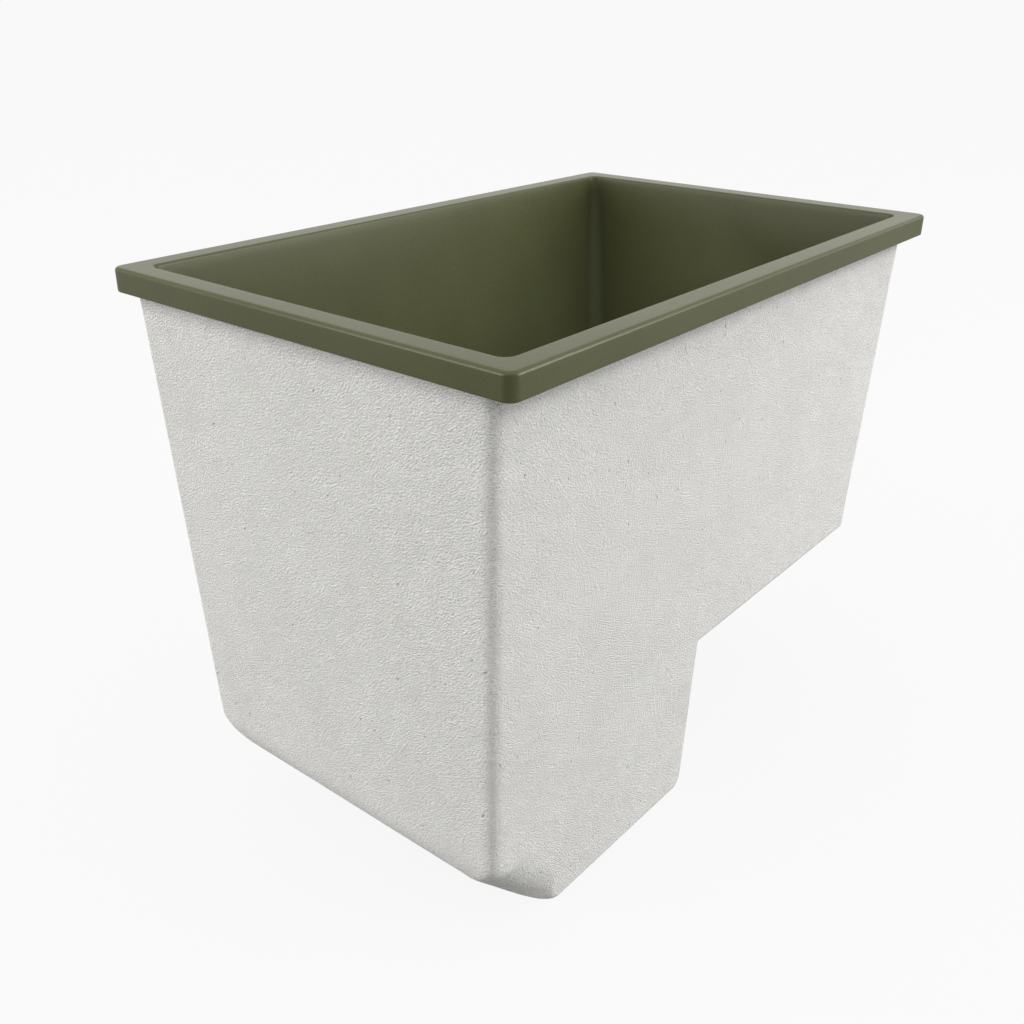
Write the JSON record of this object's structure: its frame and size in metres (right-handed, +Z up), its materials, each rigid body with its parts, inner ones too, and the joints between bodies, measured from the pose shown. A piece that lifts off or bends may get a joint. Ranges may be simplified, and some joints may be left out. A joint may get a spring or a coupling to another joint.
{
  "type": "wash tub",
  "caption": "Stepped rectangular wash tub: olive plastic lift-out liner with a deep well, a shallow shelf and a square rim, seated on foam boards in an off-white moulded-fibre shell.",
  "frame": {"origin": "centre of the flat face under the deep well", "axes": "+X along the long side, from the deep well towards the shelf; +Y across the tub; +Z up, out of the bath"},
  "size_m": [0.4, 0.2506, 0.3174],
  "materials": {
    "liner_plastic": "satin",
    "shell_fibre": "matte",
    "gasket_foam": "matte",
    "board_foam": "matte"
  },
  "bodies": {
    "shell": {"outer_shell": "shell_fibre", "well_floor_board": "board_foam", "shelf_floor_board": "board_foam", "riser_board": "board_foam", "deep_end_board": "board_foam", "shallow_end_board": "board_foam", "side_board_left": "board_foam", "side_board_right": "board_foam"},
    "lift_out_liner": {"liner": "liner_plastic", "rim_gasket": "gasket_foam"}
  },
  "joints": [
    {"name": "liner_lift", "type": "slide", "parent": "shell", "child": "lift_out_liner", "axis": [0, 0, 1], "range_m": [0, 0.34]}
  ]
}
